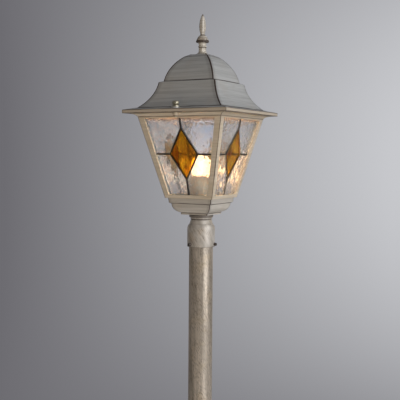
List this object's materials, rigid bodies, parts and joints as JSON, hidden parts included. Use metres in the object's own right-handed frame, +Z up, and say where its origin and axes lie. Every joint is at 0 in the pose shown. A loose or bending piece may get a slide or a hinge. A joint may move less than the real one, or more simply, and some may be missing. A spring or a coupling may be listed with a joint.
{
  "type": "garden lamp post",
  "caption": "Garden lamp post: a round tube on a flanged base carries a tapered square lantern with leaded glass and amber lozenges under an ogee roof.",
  "frame": {"origin": "middle of the base's underside, on the ground", "axes": "+Z up the post, -Y out of the lantern's front, which has a thumb screw on its brim"},
  "size_m": [0.188, 0.188, 1.1981],
  "materials": {
    "antique_cream": "cast, painted antique cream, brushed with brown patina",
    "champagne_tube": "drawn tube, champagne lacquer with brushed patina",
    "clear_glass": "clear, hammered",
    "amber_glass": "streaky amber",
    "lead_came": "black lead",
    "brass": "polished, dulled",
    "black_steel": "black oxide",
    "zinc_steel": "zinc plated",
    "porcelain": "white glazed",
    "opal_glass": "frosted, lit",
    "cap_metal": "bright rolled",
    "black_insulator": "black glass",
    "terminal_plastic": "moulded",
    "black_rubber": "matt"
  },
  "bodies": {
    "post": {"base_flange": "antique_cream", "base_grub_screws": "black_steel", "post_tube": "champagne_tube", "terminal_block": "terminal_plastic", "terminal_bracket": "zinc_steel", "terminal_screws": "zinc_steel", "earth_screw": "brass"},
    "lantern": {"post_fitter": "antique_cream", "neck_gasket": "black_rubber", "threaded_nipple": "zinc_steel", "nipple_nuts": "zinc_steel", "nipple_washers": "zinc_steel", "supply_lead": "black_rubber", "lantern_pan": "antique_cream", "lantern_cage": "antique_cream", "cage_screws": "zinc_steel", "corner_beads": "zinc_steel", "bead_screws": "zinc_steel", "lampholder_bracket": "zinc_steel", "lampholder_screws": "zinc_steel", "lampholder_body": "porcelain", "lampholder_shell": "brass", "lampholder_contact": "brass", "clear_panes_front": "clear_glass", "clear_panes_right": "clear_glass", "clear_panes_rear": "clear_glass", "clear_panes_left": "clear_glass", "amber_lozenge_front": "amber_glass", "amber_lozenge_right": "amber_glass", "amber_lozenge_rear": "amber_glass", "amber_lozenge_left": "amber_glass", "lead_came_front": "lead_came", "lead_came_right": "lead_came", "lead_came_rear": "lead_came", "lead_came_left": "lead_came", "zinc_border_front": "zinc_steel", "zinc_border_right": "zinc_steel", "zinc_border_rear": "zinc_steel", "zinc_border_left": "zinc_steel"},
    "clamp_screw_1": {"clamp_screw_1": "black_steel"},
    "clamp_screw_2": {"clamp_screw_2": "black_steel"},
    "clamp_screw_3": {"clamp_screw_3": "black_steel"},
    "roof": {"roof": "antique_cream", "finial": "antique_cream", "finial_washer": "zinc_steel", "finial_nut": "zinc_steel", "thumb_washers": "brass"},
    "thumb_screw_front": {"thumb_screw_front": "brass"},
    "thumb_screw_rear": {"thumb_screw_rear": "brass"},
    "bulb": {"bulb_globe": "opal_glass", "bulb_cap": "cap_metal", "bulb_insulator": "black_insulator", "bulb_contact": "cap_metal"}
  },
  "joints": [
    {"name": "head_swivel", "type": "hinge", "parent": "post", "child": "lantern", "pos_m": [0, 0, 0.847], "axis": [0, 0, 1], "range_deg": [-180, 180]},
    {"name": "roof_lift", "type": "slide", "parent": "lantern", "child": "roof", "axis": [0, 0, 1], "range_m": [0, 0.12]},
    {"name": "bulb_lift_out", "type": "slide", "parent": "lantern", "child": "bulb", "axis": [0, 0, 1], "range_m": [0, 0.04]},
    {"name": "thumb_screw_front_turn", "type": "hinge", "parent": "roof", "child": "thumb_screw_front", "pos_m": [0, -0.0835, 1.04], "axis": [0, 0, 1], "continuous": true},
    {"name": "thumb_screw_rear_turn", "type": "hinge", "parent": "roof", "child": "thumb_screw_rear", "pos_m": [0, 0.0835, 1.04], "axis": [0, 0, 1], "continuous": true},
    {"name": "clamp_screw_1_turn", "type": "hinge", "parent": "lantern", "child": "clamp_screw_1", "pos_m": [0.02167, 0.00382, 0.8212], "axis": [0.9848, 0.1736, 0], "continuous": true},
    {"name": "clamp_screw_2_turn", "type": "hinge", "parent": "lantern", "child": "clamp_screw_2", "pos_m": [-0.01414, 0.01685, 0.8212], "axis": [-0.6428, 0.766, 0], "continuous": true},
    {"name": "clamp_screw_3_turn", "type": "hinge", "parent": "lantern", "child": "clamp_screw_3", "pos_m": [-0.00752, -0.02067, 0.8212], "axis": [-0.342, -0.9397, 0], "continuous": true}
  ]
}
